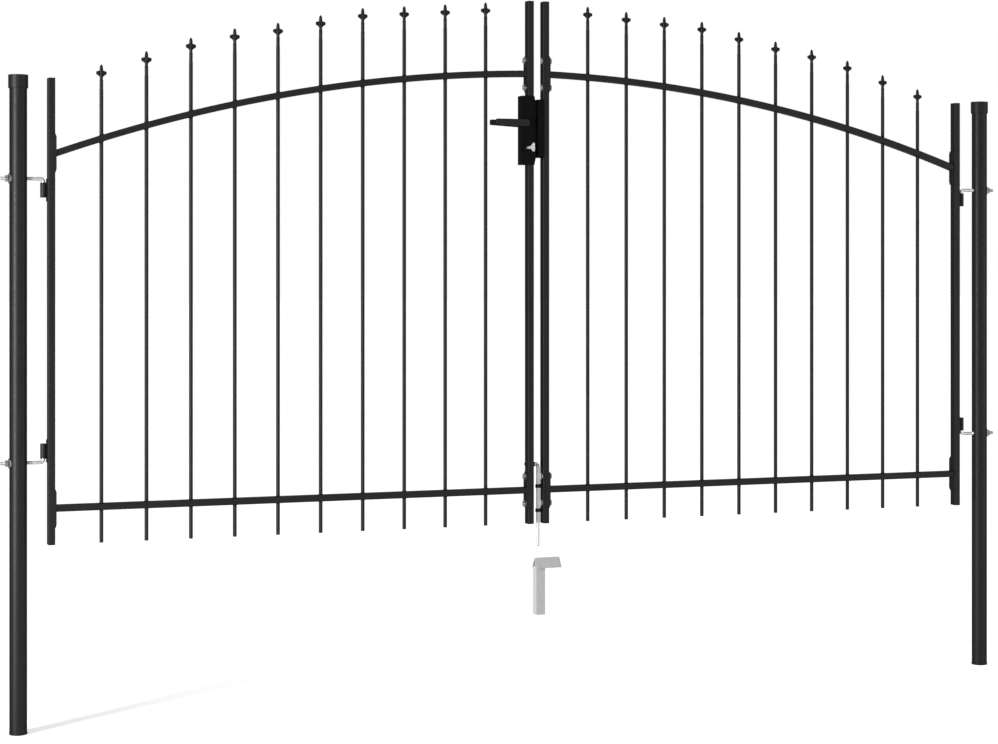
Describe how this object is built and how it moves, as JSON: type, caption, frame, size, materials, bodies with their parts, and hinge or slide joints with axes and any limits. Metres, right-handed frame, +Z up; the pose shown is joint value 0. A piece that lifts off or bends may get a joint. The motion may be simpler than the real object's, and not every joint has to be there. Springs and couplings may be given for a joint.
{
  "type": "double driveway gate",
  "caption": "Black double-leaf driveway gate with an arched top, round spear-topped pales, hook-bolt hinges on round posts, a lever lock with key and a drop bolt.",
  "frame": {"origin": "middle of the flat foot of the left post, seen from the street", "axes": "+X along the closed gate to the right post, +Y from the street to the drive, +Z up"},
  "size_m": [3.0474, 0.1854, 2],
  "materials": {
    "black_powder_coat": "satin",
    "black_lacquer": "matte",
    "black_plastic": "matte",
    "zinc_plate": "satin",
    "galvanised_steel": "matte",
    "key_steel": "polished"
  },
  "bodies": {
    "posts": {"left_post": "black_powder_coat", "right_post": "black_powder_coat", "left_post_cap": "black_plastic", "right_post_cap": "black_plastic", "left_post_foot_plug": "black_plastic", "right_post_foot_plug": "black_plastic", "left_upper_hinge_bolt": "zinc_plate", "right_upper_hinge_bolt": "zinc_plate", "left_lower_hinge_bolt": "zinc_plate", "right_lower_hinge_bolt": "zinc_plate", "left_hinge_saddles": "zinc_plate", "right_hinge_saddles": "zinc_plate", "left_hinge_nuts": "zinc_plate", "right_hinge_nuts": "zinc_plate", "ground_socket_stem": "galvanised_steel", "ground_socket_roof": "galvanised_steel"},
    "left_leaf": {"left_outer_stile": "black_powder_coat", "left_inner_stile": "black_powder_coat", "left_stile_plugs": "black_plastic", "left_panel": "black_powder_coat", "left_finials": "black_powder_coat", "left_outer_brackets": "black_powder_coat", "left_inner_brackets": "black_powder_coat", "left_hinge_barrels": "black_powder_coat", "lock_case": "black_lacquer", "lock_front_plate": "black_lacquer", "lock_back_plate": "black_lacquer", "lock_cylinder": "black_lacquer"},
    "right_leaf": {"right_outer_stile": "black_powder_coat", "right_inner_stile": "black_powder_coat", "right_stile_plugs": "black_plastic", "right_panel": "black_powder_coat", "right_finials": "black_powder_coat", "right_outer_brackets": "black_powder_coat", "right_inner_brackets": "black_powder_coat", "right_hinge_barrels": "black_powder_coat", "keeper": "black_lacquer", "drop_bolt_guides": "black_powder_coat"},
    "lever": {"lever_front": "black_powder_coat", "lever_back": "black_powder_coat", "lever_spindle": "zinc_plate"},
    "key": {"key_plug": "black_lacquer", "key": "key_steel"},
    "drop_bolt": {"drop_bolt_rod": "zinc_plate", "drop_bolt_grip": "black_plastic"}
  },
  "joints": [
    {"name": "left_leaf_hinge", "type": "hinge", "parent": "posts", "child": "left_leaf", "pos_m": [0.06625, 0, 1], "axis": [0, 0, 1], "range_deg": [0, 90]},
    {"name": "right_leaf_hinge", "type": "hinge", "parent": "posts", "child": "right_leaf", "pos_m": [2.88675, 0, 1], "axis": [0, 0, -1], "range_deg": [0, 90]},
    {"name": "lever_turn", "type": "hinge", "parent": "left_leaf", "child": "lever", "pos_m": [1.43345, 0, 1.64849], "axis": [0, -1, 0], "range_deg": [0, 40], "stiffness_Nm_per_rad": 0.8, "springref_deg": -34.38},
    {"name": "key_turn", "type": "hinge", "parent": "left_leaf", "child": "key", "pos_m": [1.43345, -0.021, 1.57649], "axis": [0, 1, 0], "range_deg": [0, 360]},
    {"name": "drop_bolt_slide", "type": "slide", "parent": "right_leaf", "child": "drop_bolt", "axis": [0, 0, 1], "range_m": [-0.045, 0]}
  ]
}
